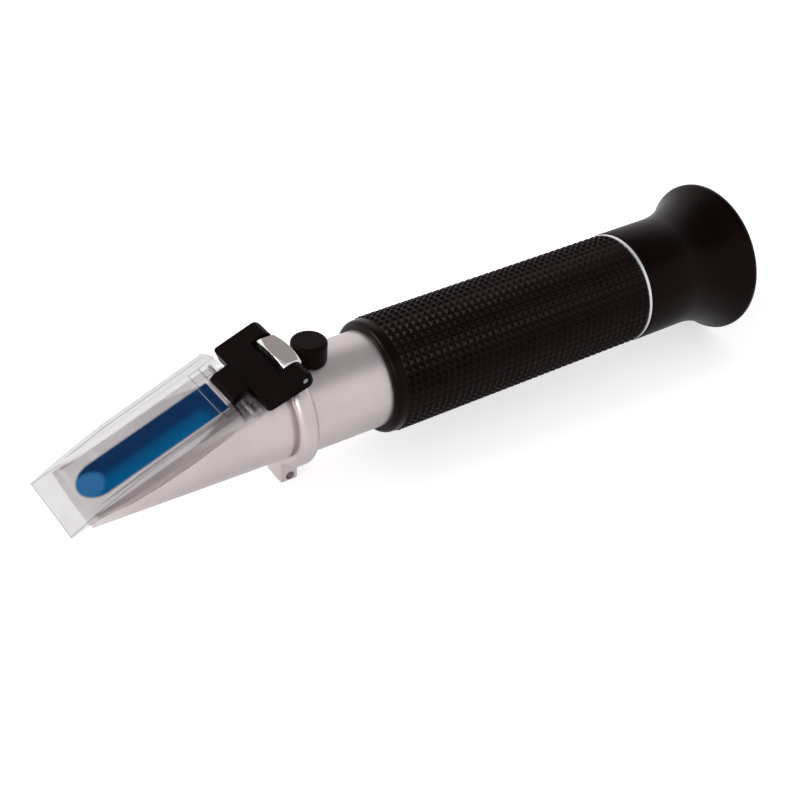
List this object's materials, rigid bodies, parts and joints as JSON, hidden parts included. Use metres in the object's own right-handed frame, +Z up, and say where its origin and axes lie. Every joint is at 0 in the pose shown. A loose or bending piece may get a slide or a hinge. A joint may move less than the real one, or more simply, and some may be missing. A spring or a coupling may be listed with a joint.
{
  "type": "brix refractometer",
  "caption": "Hand-held refractometer: slanted prism face under a hinged clear daylight plate, capped calibration screw, rubber grip and flared focusing eyecup.",
  "frame": {"origin": "under the middle of the instrument, on the bench that the lug's foot and the eyecup's rim rest on", "axes": "+X along the optical axis towards the eye, +Z up, away from the lug, +Y to the left as seen by the user looking through it"},
  "size_m": [0.192, 0.0398, 0.0398],
  "materials": {
    "body_metal": "satin silver coat",
    "prism_glass": "polished blue",
    "cement": "cured",
    "clear_acrylic": "clear, polished",
    "black_metal": "satin black",
    "steel": "fine turned",
    "brass": "turned",
    "rubber": "satin black",
    "silver_ring": "bright",
    "lens_glass": "polished, coated",
    "bimetal": "rolled"
  },
  "bodies": {
    "optical_body": {"prism_housing": "body_metal", "measuring_prism": "prism_glass", "prism_cement": "cement", "light_stop": "black_metal", "hinge_block": "steel", "main_tube": "body_metal", "calibration_bush": "brass", "grip_sleeve": "rubber", "end_ring": "silver_ring", "objective_cell": "brass", "objective_lens": "lens_glass", "objective_ring": "brass", "bimetal_strip": "bimetal", "strip_mount": "brass", "strip_screws": "steel", "reticle_holder": "black_metal", "reticle_disc": "lens_glass", "reticle_ring": "black_metal"},
    "cover_arm": {"hinge_bracket": "black_metal", "hinge_pin": "steel", "plate_pin": "steel"},
    "cover_plate": {"daylight_plate": "clear_acrylic"},
    "screw_cap": {"screw_cap": "rubber"},
    "calibration_screw": {"calibration_screw": "brass"},
    "focus_slide": {"focus_o_ring": "rubber"},
    "eyepiece": {"eyepiece_barrel": "black_metal", "eyecup": "rubber", "field_stop": "black_metal", "field_lens": "lens_glass", "lens_spacer": "black_metal", "eye_lens": "lens_glass", "eye_lens_ring": "black_metal"}
  },
  "joints": [
    {"name": "cover_hinge", "type": "hinge", "parent": "optical_body", "child": "cover_arm", "pos_m": [-0.03848, 0, 0.0355], "axis": [0, 1, 0], "range_deg": [0, 110]},
    {"name": "plate_tilt", "type": "hinge", "parent": "cover_arm", "child": "cover_plate", "pos_m": [-0.05069, 0, 0.02994], "axis": [0, 1, 0], "range_deg": [0, 4]},
    {"name": "cap_lift", "type": "slide", "parent": "optical_body", "child": "screw_cap", "axis": [0, 0, 1], "range_m": [0, 0.012]},
    {"name": "calibration_turn", "type": "hinge", "parent": "optical_body", "child": "calibration_screw", "pos_m": [-0.03058, 0, 0.0339], "axis": [0, 0, 1], "range_deg": [-180, 180]},
    {"name": "focus_travel", "type": "slide", "parent": "optical_body", "child": "focus_slide", "axis": [1, 0, 0], "range_m": [0, 0.003]},
    {"name": "focus_turn", "type": "hinge", "parent": "focus_slide", "child": "eyepiece", "pos_m": [0.06352, 0, 0.0199], "axis": [1, 0, 0], "range_deg": [0, 360]}
  ],
  "couplings": [
    {"joint": "focus_travel", "follows": "focus_turn", "m_per_rad": 0.000477}
  ]
}
